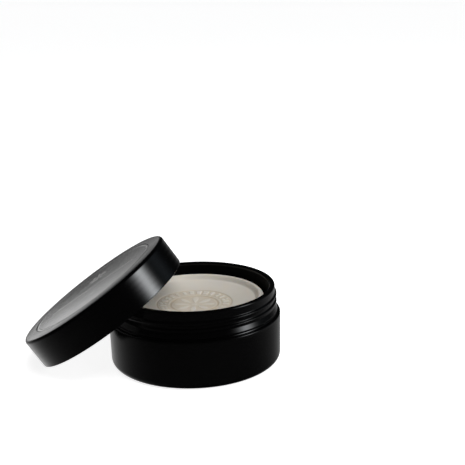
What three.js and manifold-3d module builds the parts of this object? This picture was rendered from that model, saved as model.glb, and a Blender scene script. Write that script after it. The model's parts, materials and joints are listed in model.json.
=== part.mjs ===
// An open screw-top tub of shaving soap, with its lid leaning on the rim.
// Millimetres, +Z up. The origin is the centre of the tub's base, on the surface that it stands on.
// The lid lies towards -X: its lowest edge stands on that surface, and it leans on the tub's rim.

import * as THREE from "three";
import { mergeVertices } from "three/addons/utils/BufferGeometryUtils.js";
import Module from "manifold-3d";

// Outer shell of the tub
const BODY_RADIUS = 42.2; // outside of the tub at its shell's top edge
const SHELL_HEIGHT = 23.5; // base to the shell's top edge
const SHELL_TAPER = 0.3; // how much narrower the shell is at its base
const SHELL_WALL = 1.4;
const SHELL_FLOOR = 1.8;
const BASE_CORNER = 3; // rounding between side and base
const SHELL_EDGE = 0.6; // rounding of the top edge
const LEDGE_WIDTH = 1.4; // inside step that carries the cup's collar
const COLLAR_DEPTH = 3; // how far the collar goes down into the shell
const FIT_GAP = 0.2; // round and under the collar, and round the labels

// Inner cup with the threaded neck
const NECK_HEIGHT = 13.5; // shell's top edge to the top of the rim
const RIM_EDGE = 0.7; // rounding of the rim
const NECK_WALL = 2.7; // at the mouth
const CUP_WALL = 1.6; // below the collar
const CUP_FLOOR = 1.8;
const CUP_TAPER = 1.4; // how much narrower the bowl is at its floor than at the mouth
const BOWL_CORNER = 2.2; // rounding between the bowl's wall and floor
const BEAD_BOTTOM = 0.8; // gap of the seam, from the shell's top edge up to the bead
const BEAD_HEIGHT = 3.1;
const BEAD_PROUD = 1.1; // how far the bead stands out of the neck
const BEAD_EDGE = 0.6; // rounding under the bead, below its sloping upper side

// Thread of the neck and the lid
const THREAD_PITCH = 3.3;
const THREAD_DEPTH = 0.8;
const THREAD_GAP = 0.3; // from each crest to the facing wall
const THREAD_FOOT = 2.2; // width of a ridge at its foot
const THREAD_CREST = 0.7; // width of a ridge at its crest
const THREAD_RISE = 0.5; // from the bead to the middle of the ridge where it begins
const LIP_BAND = 2.7; // plain neck between the ridge's end and the top of the rim
const NECK_THREAD_ANGLE = 237; // degrees round from +X where it begins
const LID_TURNS = 1.25;
const LID_THREAD_START = 4.2; // from the skirt's edge to the ridge's middle
const THREAD_FADE = 18; // degrees over which a ridge sinks away at each end

// Soap
const PUCK_GAP = 2.6; // from the puck's side to the mouth
const PUCK_THICKNESS = 19.5; // through the raised band
const PUCK_EDGE = 2; // rounding of the top edge
const PUCK_FOOT_EDGE = 1.5; // rounding of the bottom edge
const PUCK_BAND = 3.4; // raised band round the top, from the puck's side inwards
const PUCK_STEP = 2.1; // band's top down to the face's edge
const PUCK_BOWL = 3.1; // how much lower the face's middle is than its edge
const PUCK_MEDAL_RADIUS = 19; // stamped ring
const PUCK_MEDAL_WIDTH = 0.9;
const PUCK_SEAT = 0.1; // under the puck
const PUCK_DROP = 4.9; // from the rim down to the puck's top

// Lid
const LID_INSET = 0.4; // how much smaller than the tub the lid is all round
const CLOSED_SEAM = 0.3; // left between the skirt and the shell when the lid is on
const LID_WALL = 1;
const LID_PLATE = 1.7;
const LID_CORNER = 1.8; // rounding between side and top
const SKIRT_CHAMFER = 0.4; // inside the skirt's edge
const LINER_THICKNESS = 0.7;
const LINER_GAP = 0.3; // round and above the liner

// Labels
const LID_LABEL_RADIUS = 34;
const BASE_LABEL_RADIUS = 27;
const LABEL_THICKNESS = 0.3;
const LABEL_SINK = 0.1; // how far the lid's label lies below the top's edge

// Lean of the open lid
const LEAN_ANGLE = 34.3; // degrees from level
const LEAN_GAP = 0.3; // from the skirt to the rim
const FLOOR_GAP = 0.1; // under the skirt's lowest edge

const SEGMENTS = 72; // round each turned piece
const THREAD_STEPS = 40; // per turn of a ridge

// Sizes that follow from those
const lidRadius = BODY_RADIUS - LID_INSET;
const lidBore = lidRadius - LID_WALL;
const neckCrest = lidBore - THREAD_GAP;
const neckRadius = neckCrest - THREAD_DEPTH;
const lidCrest = neckRadius + THREAD_GAP;
const mouthRadius = neckRadius - NECK_WALL;
const rimHeight = SHELL_HEIGHT + NECK_HEIGHT;
const bowlFloorHeight = rimHeight - PUCK_DROP - PUCK_THICKNESS - PUCK_SEAT;
const beadBottom = SHELL_HEIGHT + BEAD_BOTTOM;
const beadTop = beadBottom + BEAD_HEIGHT;
const linerDepth = NECK_HEIGHT - CLOSED_SEAM;
const lidHeight = linerDepth + LINER_THICKNESS + LINER_GAP + LID_PLATE;
const collarBottom = SHELL_HEIGHT - COLLAR_DEPTH;
const collarRadius = BODY_RADIUS - SHELL_WALL - FIT_GAP;
const labelPocket = LABEL_THICKNESS + FIT_GAP;
const lean = THREE.MathUtils.degToRad(LEAN_ANGLE);

const wasm = await Module();
wasm.setup();

const point = (x, y) => new THREE.Vector2(x, y);

// Points along a round corner, from one angle to the other in degrees.
function corner(x, y, radius, from, to, steps = 4) {
  return Array.from({ length: steps + 1 }, (_, i) => {
    const angle = THREE.MathUtils.degToRad(from + ((to - from) * i) / steps);
    return point(x + radius * Math.cos(angle), y + radius * Math.sin(angle));
  });
}

// A profile of radius and height turned round the Z axis. It runs upwards on its outer side.
function turned(profile) {
  return new THREE.LatheGeometry(profile, SEGMENTS).rotateX(Math.PI / 2);
}

function disc(radius, bottom, top) {
  return turned([point(0, bottom), point(radius, bottom), point(radius, top), point(0, top)]);
}

// A rising right-hand helix. Its radius eases from and back to that of the wall at its two ends.
class ThreadPath extends THREE.Curve {
  constructor(wallRadius, crestRadius, start, turns, startAngle) {
    super();
    Object.assign(this, { wallRadius, crestRadius, start, turns, startAngle });
  }

  getPoint(t) {
    const angle = THREE.MathUtils.degToRad(this.startAngle + 360 * this.turns * t);
    const fade = THREAD_FADE / (360 * this.turns);
    const full = Math.min(1, t / fade, (1 - t) / fade);
    const radius = THREE.MathUtils.lerp(this.wallRadius, this.crestRadius, full);
    const height = this.start + THREAD_PITCH * this.turns * t;
    return new THREE.Vector3(radius * Math.cos(angle), radius * Math.sin(angle), height);
  }

  // Frames whose normals point straight out from the axis, so that the ridge never twists.
  computeFrenetFrames(segments) {
    const tangents = [];
    const normals = [];
    const binormals = [];
    for (let i = 0; i <= segments; i++) {
      const angle = THREE.MathUtils.degToRad(this.startAngle + (360 * this.turns * i) / segments);
      const normal = new THREE.Vector3(Math.cos(angle), Math.sin(angle), 0);
      const tangent = new THREE.Vector3(-Math.sin(angle), Math.cos(angle), 0);
      tangents.push(tangent);
      normals.push(normal);
      binormals.push(new THREE.Vector3().crossVectors(tangent, normal));
    }
    return { tangents, normals, binormals };
  }
}

// A ridge whose crest faces out (side 1) or in (side -1). Its foot is buried in the wall.
function threadRidge({ wall, crest, start, turns, startAngle, side }) {
  const buried = THREAD_DEPTH + 0.3;
  const section = new THREE.Shape([
    point(-side * buried, -THREAD_FOOT / 2),
    point(0, -THREAD_CREST / 2),
    point(0, THREAD_CREST / 2),
    point(-side * buried, THREAD_FOOT / 2),
  ]);
  return new THREE.ExtrudeGeometry(section, {
    steps: Math.round(THREAD_STEPS * turns),
    extrudePath: new ThreadPath(wall, crest, start, turns, startAngle),
  });
}

function solidOf(geometry) {
  const bare = geometry.clone();
  bare.deleteAttribute("normal");
  bare.deleteAttribute("uv");
  const merged = mergeVertices(bare, 1e-4);
  const vertProperties = merged.attributes.position.array;
  const triVerts = new Uint32Array(merged.index.array);
  return new wasm.Manifold(new wasm.Mesh({ numProp: 3, vertProperties, triVerts }));
}

// Two closed geometries joined into one.
function joined(first, second) {
  const mesh = solidOf(first).add(solidOf(second)).getMesh();
  const geometry = new THREE.BufferGeometry();
  geometry.setAttribute("position", new THREE.BufferAttribute(mesh.vertProperties, 3));
  geometry.setIndex(new THREE.BufferAttribute(mesh.triVerts, 1));
  geometry.computeVertexNormals();
  return geometry;
}

function piece(name, geometry, color, roughness) {
  const material = new THREE.MeshStandardMaterial({ color, roughness, metalness: 0 });
  const mesh = new THREE.Mesh(geometry, material);
  mesh.name = name;
  return mesh;
}

const BLACK = 0x0b0b0c;

// The side and base, with a pocket for the base label and a ledge inside for the cup's collar.
function outerShell() {
  const inside = BODY_RADIUS - SHELL_WALL;
  const baseRadius = BODY_RADIUS - SHELL_TAPER;
  const pocketRadius = BASE_LABEL_RADIUS + FIT_GAP;
  const floorTop = labelPocket + SHELL_FLOOR;
  const insideCorner = Math.max(BASE_CORNER - SHELL_WALL, 0.4);
  const ledgeRadius = inside - LEDGE_WIDTH;
  return piece(
    "outer_shell",
    turned([
      point(0, labelPocket),
      point(pocketRadius, labelPocket),
      point(pocketRadius, 0),
      ...corner(baseRadius - BASE_CORNER, BASE_CORNER, BASE_CORNER, -90, 0),
      ...corner(BODY_RADIUS - SHELL_EDGE, SHELL_HEIGHT - SHELL_EDGE, SHELL_EDGE, 0, 90, 2),
      point(inside, SHELL_HEIGHT),
      point(inside, collarBottom - FIT_GAP),
      point(ledgeRadius, collarBottom - FIT_GAP),
      ...corner(ledgeRadius - insideCorner, floorTop + insideCorner, insideCorner, 0, -90, 2),
      point(0, floorTop),
    ]),
    BLACK,
    0.12,
  );
}

// The bowl, the collar that plugs into the shell, the bead above the seam and the threaded neck.
function innerCup() {
  const bowlFloorRadius = mouthRadius - CUP_TAPER;
  const beadRadius = neckRadius + BEAD_PROUD;
  const rimMiddle = rimHeight - RIM_EDGE;
  const cupBottom = bowlFloorHeight - CUP_FLOOR;
  const threadStart = beadTop + THREAD_RISE;
  const threadEnd = rimHeight - LIP_BAND - THREAD_FOOT / 2;
  const cupOutside = bowlFloorRadius + CUP_WALL;
  const body = turned([
    point(0, cupBottom),
    ...corner(cupOutside - BOWL_CORNER, cupBottom + BOWL_CORNER, BOWL_CORNER, -90, 0),
    point(cupOutside, collarBottom),
    point(collarRadius, collarBottom),
    point(collarRadius, beadBottom),
    ...corner(beadRadius - BEAD_EDGE, beadBottom + BEAD_EDGE, BEAD_EDGE, -60, 20, 3),
    point(neckRadius, beadTop),
    ...corner(neckRadius - RIM_EDGE, rimMiddle, RIM_EDGE, 0, 90, 3),
    ...corner(mouthRadius + RIM_EDGE, rimMiddle, RIM_EDGE, 90, 180, 3),
    ...corner(bowlFloorRadius - BOWL_CORNER, bowlFloorHeight + BOWL_CORNER, BOWL_CORNER, 0, -90),
    point(0, bowlFloorHeight),
  ]);
  const ridge = threadRidge({
    wall: neckRadius,
    crest: neckCrest,
    start: threadStart,
    turns: (threadEnd - threadStart) / THREAD_PITCH,
    startAngle: NECK_THREAD_ANGLE,
    side: 1,
  });
  return piece("inner_cup", joined(body, ridge), BLACK, 0.12);
}

// The soap, with a raised band round a hollow face and a stamped ring in its middle.
function soapPuck() {
  const radius = mouthRadius - PUCK_GAP;
  const bottom = bowlFloorHeight + PUCK_SEAT;
  const top = bottom + PUCK_THICKNESS;
  const faceRadius = radius - PUCK_BAND;
  const faceEdge = top - PUCK_STEP;
  const faceHeight = (r) => faceEdge - PUCK_BOWL * (1 - (r / faceRadius) ** 2);
  const onFace = (r, raised = 0) => point(r, faceHeight(r) + raised);
  return piece(
    "soap_puck",
    turned([
      point(0, bottom),
      ...corner(radius - PUCK_FOOT_EDGE, bottom + PUCK_FOOT_EDGE, PUCK_FOOT_EDGE, -90, 0, 3),
      ...corner(radius - PUCK_EDGE, top - PUCK_EDGE, PUCK_EDGE, 0, 90),
      point(faceRadius + PUCK_STEP / 2, top - PUCK_STEP / 3),
      onFace(faceRadius),
      onFace((faceRadius + PUCK_MEDAL_RADIUS) / 2),
      onFace(PUCK_MEDAL_RADIUS + PUCK_MEDAL_WIDTH / 2),
      onFace(PUCK_MEDAL_RADIUS, PUCK_MEDAL_WIDTH / 3),
      onFace(PUCK_MEDAL_RADIUS - PUCK_MEDAL_WIDTH / 2),
      onFace(PUCK_MEDAL_RADIUS * 0.6),
      onFace(PUCK_MEDAL_RADIUS * 0.25),
      onFace(0),
    ]),
    0xe9e1d3,
    0.55,
  );
}

// The lid in its own frame: its skirt's edge at height 0, its axis along Z.
function lidShell() {
  const plateBottom = lidHeight - LID_PLATE;
  const pocketRadius = LID_LABEL_RADIUS + FIT_GAP;
  const pocketFloor = lidHeight - LABEL_SINK - labelPocket;
  const body = turned([
    point(0, plateBottom),
    point(lidBore, plateBottom),
    point(lidBore, SKIRT_CHAMFER),
    point(lidBore + SKIRT_CHAMFER, 0),
    point(lidRadius, 0),
    ...corner(lidRadius - LID_CORNER, lidHeight - LID_CORNER, LID_CORNER, 0, 90),
    point(pocketRadius, lidHeight),
    point(pocketRadius, pocketFloor),
    point(0, pocketFloor),
  ]);
  const ridge = threadRidge({
    wall: lidBore,
    crest: lidCrest,
    start: LID_THREAD_START,
    turns: LID_TURNS,
    startAngle: 0,
    side: -1,
  });
  return piece("lid_shell", joined(body, ridge), BLACK, 0.15);
}

function lidLabel() {
  const top = lidHeight - LABEL_SINK;
  return piece("lid_label", disc(LID_LABEL_RADIUS, top - LABEL_THICKNESS, top), 0x1a1b1d, 0.3);
}

function lidLiner() {
  const top = linerDepth + LINER_THICKNESS;
  return piece("lid_liner", disc(lidBore - LINER_GAP, linerDepth, top), 0x2e2e2e, 0.8);
}

// Height of the middle of the leaning lid's open end, with the skirt's lowest edge just off the floor.
const leanHeight = lidRadius * Math.sin(lean) + FLOOR_GAP;

// How far that middle is from the tub's axis. Either the skirt's inside edge, a tilted circle, passes
// the rim at the rim's height, or the liner lies on the rim's nearest point, whichever comes first.
function leanReach() {
  const rise = rimHeight - leanHeight;
  const along = rise / Math.tan(lean);
  const skirt = lidBore + SKIRT_CHAMFER;
  const clear = neckRadius + LEAN_GAP;
  const onSkirt = along + Math.sqrt(Math.max(0, along ** 2 - skirt ** 2 + rise ** 2 + clear ** 2));
  const depth = linerDepth - LEAN_GAP;
  const onLiner = neckRadius + (rise * Math.cos(lean) - depth) / Math.sin(lean);
  return Math.max(onSkirt, onLiner);
}

const tub = new THREE.Group();
const baseLabel = piece("base_label", disc(BASE_LABEL_RADIUS, 0, LABEL_THICKNESS), 0xd9d6cf, 0.6);
tub.add(outerShell(), innerCup(), baseLabel);

const lid = new THREE.Group();
lid.add(lidShell(), lidLabel(), lidLiner());
lid.rotation.y = -lean;
lid.position.set(-leanReach(), 0, leanHeight);

const soapTub = new THREE.Group();
soapTub.add(tub, soapPuck(), lid);

export default soapTub;
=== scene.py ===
"""Looks of an open screw-top tub of shaving soap, with its lid leaning on the rim.

Run as a script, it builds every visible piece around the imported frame. Lengths are metres,
+Z is up and the origin is the centre of the tub's base.
"""

import json
import math

import bpy
import numpy as np
from mathutils import Matrix, Vector


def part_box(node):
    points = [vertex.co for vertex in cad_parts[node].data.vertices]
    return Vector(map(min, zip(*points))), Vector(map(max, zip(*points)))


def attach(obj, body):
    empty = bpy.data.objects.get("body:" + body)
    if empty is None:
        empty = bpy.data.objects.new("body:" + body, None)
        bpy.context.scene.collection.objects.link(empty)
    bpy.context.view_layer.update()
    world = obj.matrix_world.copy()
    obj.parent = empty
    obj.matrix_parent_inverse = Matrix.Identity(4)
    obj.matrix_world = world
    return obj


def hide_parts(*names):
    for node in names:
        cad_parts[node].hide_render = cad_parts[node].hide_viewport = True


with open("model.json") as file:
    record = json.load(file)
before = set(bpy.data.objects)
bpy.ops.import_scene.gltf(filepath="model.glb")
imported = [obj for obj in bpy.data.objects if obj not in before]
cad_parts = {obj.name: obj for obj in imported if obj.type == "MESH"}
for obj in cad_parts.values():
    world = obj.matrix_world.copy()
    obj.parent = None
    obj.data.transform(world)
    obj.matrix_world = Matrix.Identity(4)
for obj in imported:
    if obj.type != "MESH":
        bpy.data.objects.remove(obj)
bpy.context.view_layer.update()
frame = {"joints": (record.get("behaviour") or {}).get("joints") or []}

bl_info = {
    "name": "Shaving soap tub",
    "version": (1, 0, 0),
    "blender": (4, 5, 0),
    "location": "3D View > Sidebar > Soap tub",
    "description": "Builds the tub, its soap and its lid from turned and stamped surfaces",
    "category": "Object",
}

MM = 0.001
TURN = 2 * math.pi


# ---------------------------------------------------------------- places taken from the frame

def node_top(node):
    """Height of the node's highest point."""
    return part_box(node)[1].z


def node_radius(node):
    """Half the width across Y, which no lean changes."""
    low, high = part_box(node)
    return (high.y - low.y) / 2


JOINTS = {joint["name"]: joint for joint in frame["joints"]}
LID_ORIGIN = np.array(JOINTS["lid_turn"]["pos_m"], float)
LID_AXIS = np.array(JOINTS["lid_turn"]["axis"], float)
LID_AXIS = LID_AXIS / np.linalg.norm(LID_AXIS)
LID_SIDE = np.array([0.0, 1.0, 0.0])
LID_SLOPE = np.cross(LID_SIDE, LID_AXIS)
LID_FRAME = (LID_ORIGIN, np.stack([LID_SLOPE, LID_SIDE, LID_AXIS]))
TUB_FRAME = (np.zeros(3), np.eye(3))

THREAD_FOOT = 2.4 * MM
THREAD_CREST = 0.6 * MM
BORDER_INSET = 1 * MM  # from the lid label's edge to the middle of its foil border
ON_FACE = 0.02 * MM  # a profile point this near a face counts as on it
DUST = (0.006, 0.006, 0.006, 1)
EDGE_FADE = (-0.004, 0.0125)  # sines of the angles past a patch's edge where it starts and is full


# ---------------------------------------------------------------- settings

def length(name, description, default):
    return bpy.props.FloatProperty(
        name=name, description=description, default=default, unit="LENGTH", precision=5
    )


def number(name, description, default):
    return bpy.props.FloatProperty(name=name, description=description, default=default)


def angle(name, description, degrees):
    return bpy.props.FloatProperty(
        name=name, description=description, default=math.radians(degrees), subtype="ANGLE"
    )


def colour(name, description, default):
    return bpy.props.FloatVectorProperty(
        name=name, description=description, default=default, subtype="COLOR", size=3, min=0, max=1
    )


class TubSettings(bpy.types.PropertyGroup):
    """Sizes and colours of the shell and the threaded cup."""

    radius: length("Radius", "Outside of the shell", node_radius("outer_shell"))
    shell_top: length("Shell top", "Base to the shell's edge", node_top("outer_shell"))
    wall: length("Wall", "Thickness of the shell's side", 1.4 * MM)
    taper: length("Taper", "How much narrower the shell is at its base", 0.3 * MM)
    base_corner: length("Base corner", "Rounding between side and base", 3 * MM)
    edge: length("Edge", "Rounding of the shell's top edge", 0.55 * MM)
    rim_top: length("Rim top", "Base to the top of the rim", node_top("inner_cup"))
    rim_edge: length("Rim edge", "Rounding of the rim", 0.7 * MM)
    bead_inset: length("Bead inset", "From the shell's side to the bead's crest", 1.42 * MM)
    bead_rise: length("Bead rise", "From the shell's edge to the bead", 0.8 * MM)
    bead_height: length("Bead height", "Height of the bead", 3.1 * MM)
    neck_inset: length("Neck inset", "From the shell's side to the neck", 2.5 * MM)
    mouth_inset: length("Mouth inset", "From the shell's side to the mouth", 5.2 * MM)
    thread_pitch: length("Pitch", "Rise of the thread in one turn", 3.3 * MM)
    thread_depth: length("Thread depth", "How far the thread stands out", 0.8 * MM)
    black: colour("Black", "Moulded plastic", (0.0008, 0.0008, 0.0009))


class SoapSettings(bpy.types.PropertyGroup):
    """Sizes and colours of the soap."""

    radius: length("Radius", "Side of the puck", node_radius("soap_puck"))
    bottom: length("Bottom", "Base of the tub to the puck's underside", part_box("soap_puck")[0].z)
    top: length("Top", "Base of the tub to the puck's raised band", node_top("soap_puck"))
    edge: length("Edge", "Rounding of the top edge", 2 * MM)
    band: length("Band", "Width of the raised band", 3.4 * MM)
    step: length("Step", "Band's top down to the face's edge", 2.1 * MM)
    bowl: length("Bowl", "How much lower the face's middle is than its edge", 3.1 * MM)
    body: colour("Body", "Pressed soap", (0.74, 0.70, 0.63))
    # Painted shade: the warm brown that darkens the stamped hollows and the face round the stamp.
    hollow: colour("Hollow", "Soap in the stamped hollows", (0.56, 0.46, 0.33))


class LidSettings(bpy.types.PropertyGroup):
    """Sizes and colours of the lid, its label and its liner."""

    radius: length("Radius", "Outside of the lid", node_radius("lid_shell"))
    height: length("Height", "Skirt's edge to the top", 15.9 * MM)
    wall: length("Wall", "Thickness of the skirt", 1 * MM)
    plate: length("Plate", "Thickness of the top", 1.7 * MM)
    corner: length("Corner", "Rounding between side and top", 1.8 * MM)
    label_radius: length("Label", "Radius of the label", node_radius("lid_label"))
    liner_radius: length("Liner", "Radius of the liner", node_radius("lid_liner"))
    label_black: colour("Label black", "Ground of the label", (0.004, 0.004, 0.004))
    silver: colour("Silver", "Print on the label", (0.55, 0.55, 0.53))


class StageSettings(bpy.types.PropertyGroup):
    """Camera and floor."""

    distance: length("Distance", "Camera to the middle of the tub's base", 0.48)
    elevation: angle("Elevation", "Camera above the horizon", 22.615)
    azimuth: angle("Azimuth", "Camera round from -Y towards +X", 5.754)
    pitch: angle("Pitch", "How far the camera looks down", 15.35)
    heading: angle("Heading", "Camera's heading round from +Y towards -X", 3.195)
    roll: angle("Roll", "Camera's roll", -1.64)
    lens: number("Lens", "Focal length in millimetres", 73.63)
    floor: colour("Floor", "Pale floor", (0.86, 0.86, 0.86))


# ---------------------------------------------------------------- outlines and meshes

def straight(start, end, step):
    """Points from start up to but not including end, evenly spaced, about step apart."""
    start, end = np.array(start, float), np.array(end, float)
    count = max(1, round(float(np.linalg.norm(end - start)) / step))
    t = np.arange(count)[:, None] / count
    return start + (end - start) * t


def rounded(centre, radius, first, last, count):
    """Points on a circle round centre, from first up to but not including last, in degrees."""
    a = np.radians(first + (last - first) * np.arange(count) / count)
    return np.array(centre, float) + radius * np.stack([np.cos(a), np.sin(a)], axis=1)


def outline(*runs):
    """Runs of radius and height joined into one profile."""
    return np.concatenate([np.atleast_2d(run) for run in runs])


def smooth(x):
    """0 below 0, 1 above 1, and 3x^2 - 2x^3 in between."""
    x = np.clip(x, 0, 1)
    return x * x * (3 - 2 * x)


def around(columns):
    """The angle of each column of a turned surface."""
    return TURN * np.arange(columns) / columns


def signed_volume(points, loops):
    """Six times the volume inside: the sum of each triangle's corner product."""
    a, b, c = points[loops[:, 0]], points[loops[:, 1]], points[loops[:, 2]]
    return float(np.einsum("ij,ij->", a - points[0], np.cross(b - points[0], c - points[0])))


def turned_piece(name, radius, height, place, layers=None):
    """A closed surface whose row i and column j lie at radius[i, j] and height[i, j], turned round.

    The point is origin + radius * (cos a * side1 + sin a * side2) + height * axis. The first and
    last rows are both at radius 0 and close to one point each, at the mean height of their row.
    """
    rows, columns = radius.shape
    a = around(columns)
    local = np.stack([radius * np.cos(a), radius * np.sin(a), height], axis=2)
    middle = local[1:-1].reshape(-1, 3)
    poles = np.array([[0, 0, height[0].mean()], [0, 0, height[-1].mean()]])
    local = np.concatenate([middle, poles])
    origin, sides = place
    points = origin + local @ sides

    inner = rows - 2
    i = np.arange(inner - 1)[:, None] * columns
    j = np.arange(columns)[None, :]
    k = (j + 1) % columns
    quads = np.stack([i + j, i + k, i + columns + k, i + columns + j], axis=2).reshape(-1, 4)
    first, last = len(middle), len(middle) + 1
    j, k, base = j[0], k[0], (inner - 1) * columns
    caps = np.concatenate([
        np.stack([np.full(columns, first), k, j], axis=1),
        np.stack([np.full(columns, last), base + j, base + k], axis=1),
    ])
    triangles = np.concatenate([quads[:, [0, 1, 2]], quads[:, [0, 2, 3]], caps])
    if signed_volume(points, triangles) < 0:
        quads, caps = quads[:, ::-1], caps[:, ::-1]

    mesh = bpy.data.meshes.new(name)
    mesh.from_pydata(points, [], quads.tolist() + caps.tolist())
    mesh.polygons.foreach_set("use_smooth", np.ones(len(mesh.polygons), bool))
    for layer, values in (layers or {}).items():
        flat = np.concatenate([values[1:-1].ravel(), [values[0].mean(), values[-1].mean()]])
        mesh.attributes.new(layer, "FLOAT", "POINT").data.foreach_set("value", flat.astype(np.float32))
    add_plan_map(mesh, local)
    mesh.update()
    piece = bpy.data.objects.new(name, mesh)
    bpy.context.scene.collection.objects.link(piece)
    return piece


def add_plan_map(mesh, local):
    """A UV map that holds each point's place across the piece's own axis, in metres from it."""
    corners = np.empty(len(mesh.loops), np.int32)
    mesh.loops.foreach_get("vertex_index", corners)
    layer = mesh.uv_layers.new(name="plan")
    layer.data.foreach_set("uv", local[corners, :2].astype(np.float32).ravel())


def spun(profile, columns):
    """Radius and height arrays of a profile that is the same all round."""
    ones = np.ones((1, columns))
    return profile[:, :1] * ones, profile[:, 1:] * ones


def dress(piece, body, nodes, material):
    piece.data.materials.append(material)
    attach(piece, body)
    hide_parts(*nodes)


# ---------------------------------------------------------------- materials

class Sheet:
    """A material's node tree, with short ways to add and join nodes."""

    def __init__(self, name):
        self.material = bpy.data.materials.new(name)
        self.material.use_nodes = True
        self.tree = self.material.node_tree
        self.tree.nodes.clear()
        self.output = self.add("ShaderNodeOutputMaterial")

    def add(self, kind, inputs=None, **settings):
        node = self.tree.nodes.new(kind)
        for key, value in settings.items():
            setattr(node, key, value)
        for key, value in (inputs or {}).items():
            if isinstance(value, bpy.types.NodeSocket):
                self.tree.links.new(value, node.inputs[key])
            else:
                node.inputs[key].default_value = value
        return node

    def maths(self, operation, *values, clamp=False):
        inputs = dict(enumerate(values))
        return self.add("ShaderNodeMath", inputs, operation=operation, use_clamp=clamp).outputs[0]

    def noise(self, coordinates, scale, detail, roughness=0.5):
        inputs = {"Vector": coordinates, "Scale": scale, "Detail": detail, "Roughness": roughness}
        return self.add("ShaderNodeTexNoise", inputs).outputs["Fac"]

    def span(self, value, low, high, new_low=0.0, new_high=1.0, kind="LINEAR"):
        inputs = {"Value": value, "From Min": low, "From Max": high}
        inputs.update({"To Min": new_low, "To Max": new_high})
        return self.add("ShaderNodeMapRange", inputs, interpolation_type=kind).outputs["Result"]

    def mixed(self, share, first, second):
        node = self.add("ShaderNodeMix", data_type="RGBA")
        for index, value in ((0, share), (6, first), (7, second)):
            if isinstance(value, bpy.types.NodeSocket):
                self.tree.links.new(value, node.inputs[index])
            else:
                node.inputs[index].default_value = value
        return node.outputs[2]

    def bump(self, height, distance, strength):
        inputs = {"Height": height, "Distance": distance, "Strength": strength}
        return self.add("ShaderNodeBump", inputs).outputs["Normal"]

    def finish(self, **inputs):
        shader = self.add("ShaderNodeBsdfPrincipled", inputs)
        self.tree.links.new(shader.outputs[0], self.output.inputs["Surface"])
        return self.material


def heading(azimuth, elevation):
    """Unit vector: azimuth in degrees from +X towards +Y, elevation in degrees above the floor."""
    a, e = math.radians(azimuth), math.radians(elevation)
    return Vector((math.cos(e) * math.cos(a), math.cos(e) * math.sin(a), math.sin(e)))


class Surround(Sheet):
    """The world's node tree: soft patches of light, each at its own direction from the tub."""

    def __init__(self, name, base):
        self.world = bpy.data.worlds.new(name)
        self.world.use_nodes = True
        self.tree = self.world.node_tree
        self.tree.nodes.clear()
        self.output = self.add("ShaderNodeOutputWorld")
        self.way = self.add("ShaderNodeTexCoord").outputs["Object"]
        self.height = self.maths("ARCSINE", self.along((0, 0, 1)))
        self.total = (base, base, base)

    def along(self, facing):
        """Cosine of the angle between the way looked and the unit vector facing."""
        inputs = {0: self.way, 1: facing}
        return self.add("ShaderNodeVectorMath", inputs, operation="DOT_PRODUCT").outputs["Value"]

    def patch(self, azimuth, elevation, width, tall, glow, tint=(1, 1, 1), edge=None):
        """Adds glow * exp(-(across / width)^2 - (up / tall)^2), with the angles in degrees.

        The azimuth runs from +X towards +Y. The edge, an azimuth and an elevation, keeps only the
        half of the patch that faces that way.
        """
        ahead = self.along(heading(azimuth, 0))
        side = self.along(heading(azimuth + 90, 0))
        across = self.maths("DIVIDE", self.maths("ARCTAN2", side, ahead), math.radians(width))
        up = self.maths("SUBTRACT", self.height, math.radians(elevation))
        up = self.maths("DIVIDE", up, math.radians(tall))
        off = self.maths("ADD", self.maths("MULTIPLY", across, across), self.maths("MULTIPLY", up, up))
        fall = self.maths("EXPONENT", self.maths("MULTIPLY", off, -1.0))
        strength = self.maths("MULTIPLY", fall, glow)
        if edge is not None:
            half = self.span(self.along(heading(*edge)), *EDGE_FADE, kind="SMOOTHSTEP")
            strength = self.maths("MULTIPLY", strength, half)
        inputs = {0: tint, 3: strength}
        light = self.add("ShaderNodeVectorMath", inputs, operation="SCALE").outputs[0]
        inputs = {0: light, 1: self.total}
        self.total = self.add("ShaderNodeVectorMath", inputs, operation="ADD").outputs[0]

    def finish(self):
        shader = self.add("ShaderNodeBackground", {"Color": self.total})
        self.tree.links.new(shader.outputs[0], self.output.inputs["Surface"])
        return self.world


def rgba(colour_value):
    return (*colour_value, 1.0)


def fine_dust(sheet, place):
    """1 in sparse tiny specks and 0 elsewhere."""
    return sheet.span(sheet.noise(place, 2600, 1), 0.76, 0.8)


def moulded_black(name, black):
    """Glossy moulded plastic: near black, faintly orange-peeled, with handling smears and fine dust.

    The layer "inside" marks the bowl's wall and floor, which are matt.
    """
    sheet = Sheet(name)
    inside = sheet.add("ShaderNodeAttribute", attribute_name="inside").outputs["Fac"]
    place = sheet.add("ShaderNodeTexCoord").outputs["Object"]
    smear = sheet.span(sheet.noise(place, 55, 4), 0.45, 0.75)
    peel = sheet.noise(place, 420, 2)
    dust = fine_dust(sheet, place)
    rough = sheet.span(smear, 0, 1, 0.13, 0.18)
    rough = sheet.maths("ADD", rough, sheet.maths("MULTIPLY", dust, 0.15))
    return sheet.finish(**{
        "Base Color": sheet.mixed(dust, rgba(black), DUST),
        "Roughness": sheet.maths("ADD", rough, sheet.maths("MULTIPLY", inside, 0.4)),
        "IOR": 1.49,
        "Specular IOR Level": sheet.span(inside, 0, 1, 0.4, 0.05),
        "Normal": sheet.bump(peel, 0.02 * MM, 0.25),
    })


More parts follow.
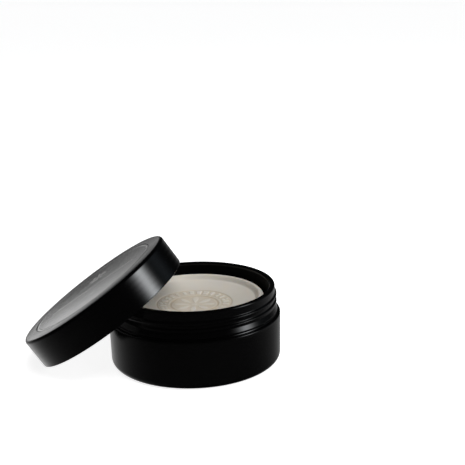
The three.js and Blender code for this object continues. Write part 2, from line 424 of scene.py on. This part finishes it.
def handled_top(name, black):
    """The lid's plastic: as glossy as the tub on the side, and a little more scuffed on the top.

    The layer "top" is 1 on the top's band and 0 on the side.
    """
    sheet = Sheet(name)
    place = sheet.add("ShaderNodeTexCoord").outputs["Object"]
    top = sheet.add("ShaderNodeAttribute", attribute_name="top").outputs["Fac"]
    smear = sheet.span(sheet.noise(place, 60, 4), 0.4, 0.75)
    scuff = sheet.noise(place, 900, 4, 0.7)
    dust = fine_dust(sheet, place)
    side_rough = sheet.span(smear, 0, 1, 0.12, 0.17)
    top_rough = sheet.span(sheet.noise(place, 90, 3), 0.3, 0.8, 0.13, 0.2)
    rough = sheet.add(
        "ShaderNodeMix", {0: top, 2: side_rough, 3: top_rough}, data_type="FLOAT"
    ).outputs[0]
    height = sheet.maths("MULTIPLY", scuff, sheet.span(top, 0, 1, 0.2, 1))
    return sheet.finish(**{
        "Base Color": sheet.mixed(dust, rgba(black), DUST),
        "Roughness": rough,
        "IOR": 1.49,
        "Normal": sheet.bump(height, 0.02 * MM, 0.3),
    })


def ring_mask(sheet, radius, middle, half_width):
    """1 on a ring round the piece's axis, falling to 0 over a narrow blur on both sides."""
    blur = 0.06 * MM
    off = sheet.maths("ABSOLUTE", sheet.maths("SUBTRACT", radius, middle))
    return sheet.span(off, half_width, half_width + blur, 1, 0)


def printed_label(name, settings):
    """Glossy black film with a fine silver print: a border ring, and what the layer "print" holds."""
    sheet = Sheet(name)
    plan = sheet.add("ShaderNodeUVMap", uv_map="plan").outputs[0]
    place = sheet.add("ShaderNodeTexCoord").outputs["Object"]
    radius = sheet.add("ShaderNodeVectorMath", {0: plan}, operation="LENGTH").outputs["Value"]
    border = ring_mask(sheet, radius, settings.label_radius - BORDER_INSET, 0.22 * MM)
    print_layer = sheet.add("ShaderNodeAttribute", attribute_name="print").outputs["Fac"]
    silver = sheet.maths("MAXIMUM", border, print_layer, clamp=True)
    worn = sheet.span(sheet.noise(place, 700, 4, 0.7), 0.3, 0.5)
    silver = sheet.maths("MULTIPLY", silver, sheet.span(worn, 0, 1, 0.55, 1))
    rough = sheet.span(sheet.noise(place, 130, 3), 0.3, 0.8, 0.045, 0.075)
    return sheet.finish(**{
        "Base Color": sheet.mixed(silver, rgba(settings.label_black), rgba(settings.silver)),
        "Metallic": sheet.maths("MULTIPLY", silver, 0.6),
        "Roughness": sheet.maths("ADD", rough, sheet.maths("MULTIPLY", silver, 0.15)),
        "IOR": 1.5,
        "Normal": sheet.bump(sheet.noise(place, 1500, 2), 0.01 * MM, 0.3),
    })


def pressed_soap(name, settings):
    """Hard soap: waxy and slightly see-through, faintly mottled, with painted warm shade in its hollows.

    The layer "hollow" holds painted shade, from 0 on the raised soap to 1 in the deepest hollows.
    """
    sheet = Sheet(name)
    place = sheet.add("ShaderNodeTexCoord").outputs["Object"]
    hollow = sheet.add("ShaderNodeAttribute", attribute_name="hollow").outputs["Fac"]
    cloud = sheet.span(sheet.noise(place, 70, 5, 0.6), 0.3, 0.7)
    grain = sheet.noise(place, 1600, 3, 0.6)
    mottling = sheet.maths("MULTIPLY", cloud, 0.08)
    # Painted shade from the layer "hollow", plus the soap's own faint random mottling.
    painted_shade_and_mottling = sheet.maths("ADD", sheet.maths("MULTIPLY", hollow, 0.9), mottling, clamp=True)
    return sheet.finish(**{
        "Base Color": sheet.mixed(painted_shade_and_mottling, rgba(settings.body), rgba(settings.hollow)),
        "Roughness": sheet.span(cloud, 0, 1, 0.42, 0.55),
        "IOR": 1.45,
        "Subsurface Weight": 0.25,
        "Subsurface Radius": (1.2, 0.9, 0.6),
        "Subsurface Scale": 1.5 * MM,
        "Normal": sheet.bump(grain, 0.03 * MM, 0.35),
    })


def foam(name):
    """Fine closed-cell foam: dark grey, matt, pitted with tiny cells."""
    sheet = Sheet(name)
    place = sheet.add("ShaderNodeTexCoord").outputs["Object"]
    cells = sheet.add("ShaderNodeTexVoronoi", {"Vector": place, "Scale": 2200.0}).outputs["Distance"]
    cloud = sheet.noise(place, 120, 3)
    return sheet.finish(**{
        "Base Color": sheet.mixed(cloud, (0.16, 0.16, 0.16, 1), (0.2, 0.2, 0.2, 1)),
        "Roughness": 0.85,
        "Normal": sheet.bump(cells, 0.08 * MM, 0.6),
    })


def paper(name):
    """Coated paper: off-white with faint fibres, and dark ink where the layer "print" is 1."""
    sheet = Sheet(name)
    place = sheet.add("ShaderNodeTexCoord").outputs["Object"]
    ink = sheet.add("ShaderNodeAttribute", attribute_name="print").outputs["Fac"]
    fibre = sheet.noise(place, 1400, 4, 0.7)
    ground = sheet.mixed(fibre, (0.70, 0.69, 0.65, 1), (0.80, 0.79, 0.76, 1))
    return sheet.finish(**{
        "Base Color": sheet.mixed(ink, ground, (0.06, 0.06, 0.065, 1)),
        "Roughness": 0.5,
        "Normal": sheet.bump(fibre, 0.01 * MM, 0.4),
    })


# ---------------------------------------------------------------- the tub

def thread_height(angles, heights, start, pitch, turns, start_angle):
    """How high a helical ridge stands, from 0 to 1, at each height (rows) and angle (columns).

    On each turn the ridge's middle is at start + pitch * (angle past the start) / one turn. The
    ridge is full within half its crest's width, falls smoothly to 0 at half its foot's width, and
    fades in and out at its ends.
    """
    fade_length = math.radians(20)
    past = (angles - start_angle) % TURN
    ridge = np.zeros((len(heights), len(angles)))
    for turn in range(math.ceil(turns) + 1):
        run = past + TURN * turn
        middle = start + pitch * run / TURN
        off = np.abs(heights[:, None] - middle[None, :])
        shape = smooth((THREAD_FOOT / 2 - off) / (THREAD_FOOT / 2 - THREAD_CREST / 2))
        fade = smooth((TURN * turns - run) / fade_length) * smooth(run / fade_length)
        ridge = np.maximum(ridge, shape * fade)
    return ridge


def shell_outline(tub):
    """Underside with its label pocket and foot groove, side, rounded edge, and inside to the floor."""
    r, top, inside = tub.radius, tub.shell_top, tub.radius - tub.wall
    pocket = node_radius("base_label") + 0.2 * MM
    deep, floor = 0.5 * MM, 2.3 * MM
    ledge = top - 3.2 * MM
    inner = inside - 1.4 * MM
    c, e, foot = tub.base_corner, tub.edge, tub.radius - tub.taper
    groove = foot - c - 2.6 * MM
    lip, fillet = 0.25 * MM, 1.6 * MM
    return outline(
        (0, deep),
        straight((1 * MM, deep), (pocket, deep), 3 * MM),
        straight((pocket, deep), (pocket, 0.1 * MM), 0.15 * MM),
        straight((pocket + 0.1 * MM, 0), (groove - 1 * MM, 0), 2 * MM),
        rounded((groove, 0), 0.5 * MM, 180, 0, 8),
        straight((groove + 1 * MM, 0), (foot - c, 0), 1 * MM),
        rounded((foot - c, c), c, -90, 0, 16),
        straight((foot, c), (r, top - e), 1.2 * MM),
        rounded((r - e, top - e), e, 0, 90, 8),
        straight((r - e, top), (inside + lip, top), 0.15 * MM),
        rounded((inside + lip, top - lip), lip, 90, 180, 4),
        straight((inside, top - lip), (inside, ledge), 0.5 * MM),
        straight((inside, ledge), (inner, ledge), 0.4 * MM),
        straight((inner, ledge), (inner, floor + fillet), 1.5 * MM),
        rounded((inner - fillet, floor + fillet), fillet, 0, -90, 6),
        straight((inner - fillet, floor), (1 * MM, floor), 4 * MM),
        (0, floor),
    )


class SOAPTUB_OT_outer_shell(bpy.types.Operator):
    """Side and base of the tub: a turned outline that narrows very slightly to its base"""

    bl_idname = "soaptub.outer_shell"
    bl_label = "Outer shell"

    def execute(self, context):
        tub = context.scene.soap_tub
        radius, height = spun(shell_outline(tub), 320)
        piece = turned_piece("outer_shell_moulding", radius, height, TUB_FRAME)
        dress(piece, "tub", ["outer_shell"], moulded_black("shell black", tub.black))
        return {"FINISHED"}


def cup_outline(tub, bowl_floor):
    """Underside, side, collar, bead, neck, rim, and the bowl's inside down to its floor."""
    mouth = tub.radius - tub.mouth_inset
    floor_radius = mouth - 1.4 * MM
    neck = tub.radius - tub.neck_inset
    collar = tub.radius - tub.wall - 0.2 * MM
    collar_bottom = tub.shell_top - 3 * MM
    bead = tub.radius - tub.bead_inset
    bead_bottom = tub.shell_top + tub.bead_rise
    bead_top = bead_bottom + tub.bead_height
    b = 0.6 * MM
    outside = floor_radius + 1.6 * MM
    under = bowl_floor - 1.8 * MM
    c, e = 2.2 * MM, tub.rim_edge
    rim = tub.rim_top
    bead_start, bead_end = (bead - b, bead_bottom), (bead - 0.03 * b, bead_bottom + 1.26 * b)
    neck_foot, neck_start = (neck + 0.12 * MM, bead_top - 0.25 * MM), (neck, bead_top + 0.2 * MM)
    return outline(
        (0, under),
        straight((1 * MM, under), (outside - c, under), 4 * MM),
        rounded((outside - c, under + c), c, -90, 0, 6),
        straight((outside, under + c), (outside, collar_bottom), 2 * MM),
        straight((outside, collar_bottom), (collar, collar_bottom), 1 * MM),
        straight((collar, collar_bottom), (collar, bead_bottom - 0.2 * MM), 0.8 * MM),
        straight((collar, bead_bottom - 0.2 * MM), bead_start, 0.1 * MM),
        rounded((bead - b, bead_bottom + b), b, -90, 15, 12),
        straight(bead_end, neck_foot, 0.15 * MM),
        straight(neck_foot, neck_start, 0.1 * MM),
        straight(neck_start, (neck, rim - e), 0.1 * MM),
        rounded((neck - e, rim - e), e, 0, 90, 10),
        straight((neck - e, rim), (mouth + e, rim), 0.3 * MM),
        rounded((mouth + e, rim - e), e, 90, 180, 10),
        straight((mouth, rim - e), (floor_radius, bowl_floor + c), 1 * MM),
        rounded((floor_radius - c, bowl_floor + c), c, 0, -90, 8),
        straight((floor_radius - c, bowl_floor), (1 * MM, bowl_floor), 4 * MM),
        (0, bowl_floor),
    )


class SOAPTUB_OT_inner_cup(bpy.types.Operator):
    """Bowl, bead and neck: a turned outline whose neck is pushed out by the thread's ridge"""

    bl_idname = "soaptub.inner_cup"
    bl_label = "Threaded cup"

    def execute(self, context):
        tub = context.scene.soap_tub
        columns = 320
        bowl_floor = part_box("soap_puck")[0].z - 0.1 * MM
        profile = cup_outline(tub, bowl_floor)
        radius, height = spun(profile, columns)
        bead_top = tub.shell_top + tub.bead_rise + tub.bead_height
        start, end = bead_top + 0.5 * MM, tub.rim_top - 3.8 * MM
        turns = (end - start) / tub.thread_pitch
        start_angle = math.radians(237)
        ridge = thread_height(
            around(columns), profile[:, 1], start, tub.thread_pitch, turns, start_angle
        )
        on_neck = np.abs(profile[:, 0] - (tub.radius - tub.neck_inset)) < ON_FACE
        radius = radius + tub.thread_depth * ridge * on_neck[:, None]
        mouth = tub.radius - tub.mouth_inset
        deep = smooth((tub.rim_top - 0.4 * MM - height) / (0.8 * MM)) * (radius < mouth + ON_FACE)
        inside = deep * (height > bowl_floor - 0.1 * MM)
        piece = turned_piece("threaded_cup", radius, height, TUB_FRAME, {"inside": inside})
        dress(piece, "tub", ["inner_cup"], moulded_black("cup black", tub.black))
        return {"FINISHED"}


class SOAPTUB_OT_base_label(bpy.types.Operator):
    """Paper sticker under the base, with a printed ring, rules and squares"""

    bl_idname = "soaptub.base_label"
    bl_label = "Base label"

    def execute(self, context):
        low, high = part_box("base_label")
        r, e = high.x, 0.05 * MM
        profile = outline(
            (0, low.z),
            straight((0.4 * MM, low.z), (r - e, low.z), 0.4 * MM),
            rounded((r - e, low.z + e), e, -90, 0, 3),
            rounded((r - e, high.z - e), e, 0, 90, 3),
            straight((r - e, high.z), (2 * MM, high.z), 6 * MM),
            (0, high.z),
        )
        columns = 256
        radius, height = spun(profile, columns)
        ink = base_print(radius / MM, around(columns))
        piece = turned_piece("base_sticker", radius, height, TUB_FRAME, {"print": ink})
        dress(piece, "tub", ["base_label"], paper("sticker paper"))
        return {"FINISHED"}


def base_print(r, a):
    """Ink from 0 to 1 at r in millimetres: a ring near the border, and squares between two rules."""
    x, y = r * np.cos(a), r * np.sin(a)
    ring = smooth((0.35 - np.abs(r - 24.5)) / 0.2)
    rules = smooth((0.3 - np.abs(np.abs(y) - 6)) / 0.2) * smooth((18 - np.abs(x)) / 0.4)
    squares = smooth((1 - np.abs(y)) / 0.3) * smooth((1 - np.abs((x + 1.5) % 3 - 1.5)) / 0.3)
    return np.clip(ring + rules + squares * smooth((15 - np.abs(x)) / 0.4), 0, 1)


# ---------------------------------------------------------------- the soap

def stamp(r, a):
    """Relief of the soap's face in millimetres, at radius r in millimetres and angle a.

    Outside in: a groove, a ring of raised bars of uneven widths, a second groove, and a slightly
    sunk middle with a button and eight petals, each raised where cos(8 a) exceeds a parabola in r.
    """
    relief = -0.26 * smooth((0.7 - np.abs(r - 18.4)) / 0.7)
    bars = 27
    turn = (a / TURN * bars) % 1
    half = 0.33 + 0.07 * np.sin(5 * a + 1) + 0.04 * np.sin(11 * a)
    bar = smooth((half - np.abs(turn - 0.5)) / 0.12) * smooth((1.9 - np.abs(r - 15.6)) / 0.6)
    notch = smooth((0.5 - np.abs(r - 15.6)) / 0.35) * ((a / TURN * bars) // 1 % 2)
    relief = relief - 0.10 * smooth((2.6 - np.abs(r - 15.4)) / 0.8) + 0.30 * bar * (1 - 0.6 * notch)
    relief = relief - 0.28 * smooth((0.9 - np.abs(r - 11.7)) / 0.8)
    relief = relief - 0.08 * smooth((11 - r) / 0.8)
    petals = smooth((np.cos(8 * a) - ((r - 6.3) / 3.6) ** 2 + 0.35) / 0.7)
    button = smooth((1.9 - r) / 0.9)
    return relief + 0.2 * petals + 0.16 * button


def soap_outline(soap):
    """Underside, foot corner, side, rounded band and its inner slope, and the hollow face.

    The face is a shallow bowl: its height over its middle grows as the square of the radius. Its
    rows are closer together inside the stamp's edge.
    """
    r, low, top = soap.radius, soap.bottom, soap.top
    foot, e = 1.5 * MM, soap.edge
    face = r - soap.band
    crown = r - e - 0.2 * MM
    stamp_edge = 20.5 * MM
    t = np.linspace(0, 1, 14)[:-1]
    start = face - 1.1 * MM
    drop = soap.step + soap.bowl * (1 - (start / face) ** 2)
    ease = np.stack([crown + (start - crown) * t, top - drop * smooth(t)], axis=1)
    outer, stamped = np.linspace(start, stamp_edge, 15)[:-1], np.linspace(stamp_edge, 0.3 * MM, 86)
    inwards = np.concatenate([outer, stamped, [0]])
    hollow = top - soap.step - soap.bowl * (1 - (inwards / face) ** 2)
    return outline(
        (0, low),
        straight((2 * MM, low), (r - foot, low), 8 * MM),
        rounded((r - foot, low + foot), foot, -90, 0, 6),
        straight((r, low + foot), (r, top - e), 2 * MM),
        rounded((r - e, top - e), e, 0, 90, 14),
        ease,
        np.stack([inwards, hollow], axis=1),
    )


def soap_unevenness(r, a):
    """Slow waves of the pressed top, in millimetres: sums of sines across it."""
    x, y = r * np.cos(a), r * np.sin(a)
    waves = np.sin(0.21 * x + 1.3) * np.cos(0.17 * y + 0.4) + 0.6 * np.sin(0.11 * x - 0.26 * y)
    return 0.03 * waves


class SOAPTUB_OT_soap_puck(bpy.types.Operator):
    """The puck: a turned outline whose face is raised and sunk by the stamp's relief"""

    bl_idname = "soaptub.soap_puck"
    bl_label = "Soap puck"

    def execute(self, context):
        soap = context.scene.soap_puck
        columns = 576
        profile = soap_outline(soap)
        radius, height = spun(profile, columns)
        a = around(columns)[None, :]
        on_top = (height[:, :1] > soap.top - 7 * MM) & (radius[:, :1] < soap.radius - 2 * MM)
        relief = stamp(radius / MM, a)
        relief[-1] = relief[-2].mean()
        set_down = 0.05
        lift = (relief + soap_unevenness(radius / MM, a) - set_down) * on_top
        height = height + lift * MM
        # Painted shade: a warm tint over the stamp that fades out by 25 mm, and more in the stamp's
        # hollows.
        pressed = 0.22 * smooth((18.9 - radius / MM) / 1.2) + 0.12 * smooth((25 - radius / MM) / 6)
        hollow = np.clip(-relief / 0.5 + pressed, 0, 1) * on_top
        piece = turned_piece("stamped_soap", radius, height, TUB_FRAME, {"hollow": hollow})
        dress(piece, "puck", ["soap_puck"], pressed_soap("pressed soap", soap))
        return {"FINISHED"}


# ---------------------------------------------------------------- the lid

def lid_outline(lid):
    """Pocket floor and wall, crowned top band, corner, rippled side, skirt's edge, bore and plate.

    The band drops from its inner edge to the corner by the crown times the square of the share of
    the way out. The ripple is a sine of the height, faded out at the corner and the skirt's edge.
    """
    r, h, bore = lid.radius, lid.height, lid.radius - lid.wall
    pocket = lid.label_radius + 0.2 * MM
    pocket_floor = h - 0.6 * MM
    plate = h - lid.plate
    c, e, chamfer = lid.corner, 0.3 * MM, 0.4 * MM
    lip, fillet = 0.12 * MM, 0.6 * MM
    band = np.linspace(pocket + lip, r - c, 12)[:-1]
    share_out = (band - band[0]) / (r - c - band[0])
    crown = 0.24 * MM
    corner = rounded((r - c, h - c), c, 90, 0, 24)
    corner[:, 1] = h - c + (corner[:, 1] - h + c) * (1 - crown / c)
    side = straight((r, h - c), (r, e), 0.25 * MM)
    share = (h - c - side[:, 1]) / (h - c)
    ripple, spacing = 0.012 * MM, 2.6 * MM
    fade = smooth(share / 0.15) * smooth((1 - share) / 0.1)
    side[:, 0] += ripple * np.sin(TURN * side[:, 1] / spacing) * fade - ripple
    return outline(
        (0, pocket_floor),
        straight((1 * MM, pocket_floor), (pocket, pocket_floor), 5 * MM),
        straight((pocket, pocket_floor), (pocket, h - lip), 0.15 * MM),
        rounded((pocket + lip, h - lip), lip, 180, 90, 4),
        np.stack([band, h - crown * share_out ** 2], axis=1),
        corner,
        side,
        rounded((r - e, e), e, 0, -90, 6),
        straight((r - e, 0), (bore + chamfer, 0), 0.1 * MM),
        straight((bore + chamfer, 0), (bore, chamfer), 0.15 * MM),
        straight((bore, chamfer), (bore, plate - fillet), 0.14 * MM),
        rounded((bore - fillet, plate - fillet), fillet, 0, 90, 5),
        straight((bore - fillet, plate), (1 * MM, plate), 5 * MM),
        (0, plate),
    )


class SOAPTUB_OT_lid_shell(bpy.types.Operator):
    """The lid: a turned outline whose bore is pushed in by the thread's ridge"""

    bl_idname = "soaptub.lid_shell"
    bl_label = "Lid shell"

    def execute(self, context):
        lid = context.scene.soap_lid
        tub = context.scene.soap_tub
        columns = 320
        profile = lid_outline(lid)
        radius, height = spun(profile, columns)
        bore = lid.radius - lid.wall
        start, turns = 4.2 * MM, 1.25
        ridge = thread_height(around(columns), profile[:, 1], start, tub.thread_pitch, turns, 0)
        on_bore = np.abs(profile[:, 0] - bore) < ON_FACE
        radius = radius - tub.thread_depth * ridge * on_bore[:, None]
        on_top = (profile[:, 1] > lid.height - lid.corner) & (profile[:, 0] > lid.label_radius)
        top = smooth((profile[:, 1] - lid.height + lid.corner) / (0.8 * lid.corner)) * on_top
        layers = {"top": top[:, None] * np.ones((1, columns))}
        piece = turned_piece("lid_moulding", radius, height, LID_FRAME, layers)
        dress(piece, "lid", ["lid_shell"], handled_top("lid black", tub.black))
        return {"FINISHED"}


def label_print(r, a):
    """Silver print from 0 to 1 at r in millimetres: a rosette of eight petals, two rules, and dashes."""
    x, y = r * np.cos(a), r * np.sin(a)
    rules = smooth((0.16 - np.abs(np.abs(y - 1.5) - 8.2)) / 0.12) * smooth((22 - np.abs(x)) / 1)
    row = np.zeros_like(r)
    for height, reach, pitch, tall in ((-1, 25, 1.9, 1.3), (-12.5, 18, 1.4, 0.7), (-16, 14, 1.4, 0.7)):
        cell = np.abs((x + pitch / 2) % pitch - pitch / 2)
        dash = smooth((tall - np.abs(y - height)) / 0.3) * smooth((0.3 * pitch - cell) / 0.2)
        row = np.maximum(row, dash * smooth((reach - np.abs(x)) / 0.5))
    up = y - 14.5
    out, turn = np.hypot(x, up), np.arctan2(up, x)
    rosette = smooth((np.cos(8 * turn) - ((out - 3.4) / 2) ** 2 + 0.2) / 0.3) + smooth((1 - out) / 0.3)
    return np.clip(rules + row + rosette, 0, 1)


class SOAPTUB_OT_lid_label(bpy.types.Operator):
    """Film label in the lid's top: a disc with a raised foil ring near its edge"""

    bl_idname = "soaptub.lid_label"
    bl_label = "Lid label"

    def execute(self, context):
        lid = context.scene.soap_lid
        r, top = lid.label_radius, lid.height - 0.1 * MM
        low, e = top - 0.3 * MM, 0.1 * MM
        profile = outline(
            (0, low),
            straight((2 * MM, low), (r - e, low), 8 * MM),
            rounded((r - e, low + e), e, -90, 0, 3),
            rounded((r - e, top - e), e, 0, 90, 4),
            straight((r - e, top), (0.3 * MM, top), 0.24 * MM),
            (0, top),
        )
        columns = 480
        radius, height = spun(profile, columns)
        foil = smooth((0.35 * MM - np.abs(radius - (r - BORDER_INSET))) / (0.2 * MM))
        on_top = height > top - 0.01 * MM
        height = height + 0.05 * MM * foil * on_top
        ink = label_print(radius / MM, around(columns)) * on_top
        piece = turned_piece("lid_label_film", radius, height, LID_FRAME, {"print": ink})
        dress(piece, "lid", ["lid_label"], printed_label("label film", lid))
        return {"FINISHED"}


class SOAPTUB_OT_lid_liner(bpy.types.Operator):
    """Foam disc inside the lid, with the faint ring that the rim has pressed into it"""

    bl_idname = "soaptub.lid_liner"
    bl_label = "Lid liner"

    def execute(self, context):
        lid = context.scene.soap_lid
        tub = context.scene.soap_tub
        r = lid.liner_radius
        top = lid.height - lid.plate - 0.3 * MM
        low, e = top - 0.7 * MM, 0.15 * MM
        rim_middle = tub.radius - (tub.neck_inset + tub.mouth_inset) / 2
        profile = outline(
            (0, low),
            straight((1 * MM, low), (r - e, low), 0.5 * MM),
            rounded((r - e, low + e), e, -90, 0, 4),
            rounded((r - e, top - e), e, 0, 90, 4),
            straight((r - e, top), (2 * MM, top), 8 * MM),
            (0, top),
        )
        press = smooth((1.5 * MM - np.abs(profile[:, 0] - rim_middle)) / (0.6 * MM))
        profile[:, 1] += 0.12 * MM * press * (profile[:, 1] < low + 0.01 * MM)
        radius, height = spun(profile, 240)
        piece = turned_piece("liner_disc", radius, height, LID_FRAME)
        dress(piece, "seal", ["lid_liner"], foam("liner foam"))
        return {"FINISHED"}


# ---------------------------------------------------------------- the stage

def stage_object(name, points, faces, material):
    mesh = bpy.data.meshes.new(name)
    mesh.from_pydata(points, [], faces)
    mesh.materials.append(material)
    piece = bpy.data.objects.new(name, mesh)
    bpy.context.scene.collection.objects.link(piece)
    return piece


def soft_light(name, place, height, width, tall, glow):
    """A rectangular area light at place that faces the tub's axis at a height.

    It is hidden from the camera and from reflections.
    """
    light = bpy.data.lights.new(name, "AREA")
    light.shape = "RECTANGLE"
    light.size, light.size_y = width, tall
    light.energy = glow * math.pi * width * tall
    lamp = bpy.data.objects.new(name, light)
    facing = (Vector((0, 0, height)) - place).to_track_quat("-Z", "Y").to_matrix()
    lamp.matrix_world = Matrix.Translation(place) @ facing.to_4x4()
    lamp.visible_camera = False
    lamp.visible_glossy = False
    bpy.context.scene.collection.objects.link(lamp)


class SOAPTUB_OT_stage(bpy.types.Operator):
    """Pale floor and backdrop, soft lights and the camera"""

    bl_idname = "soaptub.stage"
    bl_label = "Stage"

    def execute(self, context):
        stage = context.scene.soap_stage
        self.floor(stage)
        self.lights(context.scene)
        self.camera(context.scene, stage)
        return {"FINISHED"}

    def floor(self, stage):
        material = Sheet("pale floor").finish(**{
            "Base Color": rgba(stage.floor),
            "Roughness": 1.0,
            "Specular IOR Level": 0.0,
            "Emission Color": (1, 1, 1, 1),
            "Emission Strength": 0.88,
        })
        reach, drop, back = 40.0, -0.0002, 30
        corners = ((-reach, -reach), (reach, -reach), (reach, reach), (-reach, reach))
        square = [(x, y, drop) for x, y in corners]
        floor = stage_object("floor", square, [(0, 1, 2, 3)], material)
        floor.visible_glossy = False
        glow = {"Emission Color": (1, 1, 1, 1), "Emission Strength": 1.0}
        white = Sheet("backdrop white").finish(**glow)
        wall = [(-reach, back, -1), (reach, back, -1), (reach, back, reach), (-reach, back, reach)]
        backdrop = stage_object("backdrop", wall, [(0, 1, 2, 3)], white)
        backdrop.visible_glossy = False
        backdrop.visible_diffuse = False

    def lights(self, scene):
        """The surround is what the glossy black mirrors, and two lamps add to the light on the rest."""
        surround = Surround("soft surround", 0.009)
        # The lamp on the right, and the cool glow beyond it.
        surround.patch(-9, 24, 10.5, 10, 9.5, (0.95, 0.98, 1.0))
        surround.patch(27, 21, 14, 12, 0.17, (0.75, 0.88, 1.0))
        # Below the horizon, the pale table: broad pools on the right, behind, on the left and in front.
        surround.patch(40, -12, 50, 9, 0.28)
        surround.patch(113, -35, 48, 19, 0.8)
        surround.patch(170, -42, 60, 18, 0.1)
        surround.patch(-60, -27, 80, 14, 0.03)
        # Behind, the panel that the lid's label mirrors, cut along a line, and a small glow above it.
        surround.patch(116, -6, 12, 6, 1.3, edge=(195.476, 54.8))
        surround.patch(106, 1, 5, 5, 0.3)
        scene.world = surround.finish()
        soft_light("front fill", 0.8 * heading(-25, 42), 0.03, 0.5, 0.5, 1.3)
        soft_light("overhead", Vector((0.2, -0.15, 0.85)), 0.025, 0.9, 0.7, 2.5)

    def camera(self, scene, stage):
        camera = bpy.data.cameras.new("camera")
        camera.lens = stage.lens
        camera.sensor_width = 36
        eye = bpy.data.objects.new("camera", camera)
        out = stage.distance * math.cos(stage.elevation)
        place = Vector((
            out * math.sin(stage.azimuth),
            -out * math.cos(stage.azimuth),
            stage.distance * math.sin(stage.elevation),
        ))
        facing = (
            Matrix.Rotation(stage.heading, 4, "Z")
            @ Matrix.Rotation(math.pi / 2 - stage.pitch, 4, "X")
            @ Matrix.Rotation(stage.roll, 4, "Z")
        )
        eye.matrix_world = Matrix.Translation(place) @ facing
        scene.collection.objects.link(eye)
        scene.camera = eye
        scene.view_settings.view_transform = "Standard"


# ---------------------------------------------------------------- panel and registration

OPERATORS = (
    SOAPTUB_OT_outer_shell,
    SOAPTUB_OT_inner_cup,
    SOAPTUB_OT_base_label,
    SOAPTUB_OT_soap_puck,
    SOAPTUB_OT_lid_shell,
    SOAPTUB_OT_lid_label,
    SOAPTUB_OT_lid_liner,
    SOAPTUB_OT_stage,
)

SETTINGS = {
    "soap_tub": TubSettings,
    "soap_puck": SoapSettings,
    "soap_lid": LidSettings,
    "soap_stage": StageSettings,
}


class SOAPTUB_PT_panel(bpy.types.Panel):
    """Lists the pieces and their settings"""

    bl_idname = "SOAPTUB_PT_panel"
    bl_label = "Shaving soap tub"
    bl_space_type = "VIEW_3D"
    bl_region_type = "UI"
    bl_category = "Soap tub"

    def draw(self, context):
        for operator in OPERATORS:
            self.layout.operator(operator.bl_idname)
        for name in SETTINGS:
            box = self.layout.box()
            group = getattr(context.scene, name)
            for key in group.__annotations__:
                box.prop(group, key)


def register():
    for name, group in SETTINGS.items():
        bpy.utils.register_class(group)
        setattr(bpy.types.Scene, name, bpy.props.PointerProperty(type=group))
    for operator in OPERATORS:
        bpy.utils.register_class(operator)
    bpy.utils.register_class(SOAPTUB_PT_panel)


def unregister():
    bpy.utils.unregister_class(SOAPTUB_PT_panel)
    for operator in reversed(OPERATORS):
        bpy.utils.unregister_class(operator)
    for name, group in SETTINGS.items():
        delattr(bpy.types.Scene, name)
        bpy.utils.unregister_class(group)


def main():
    register()
    for operator in OPERATORS:
        family, name = operator.bl_idname.split(".")
        getattr(getattr(bpy.ops, family), name)()


if __name__ == "__main__":
    main()
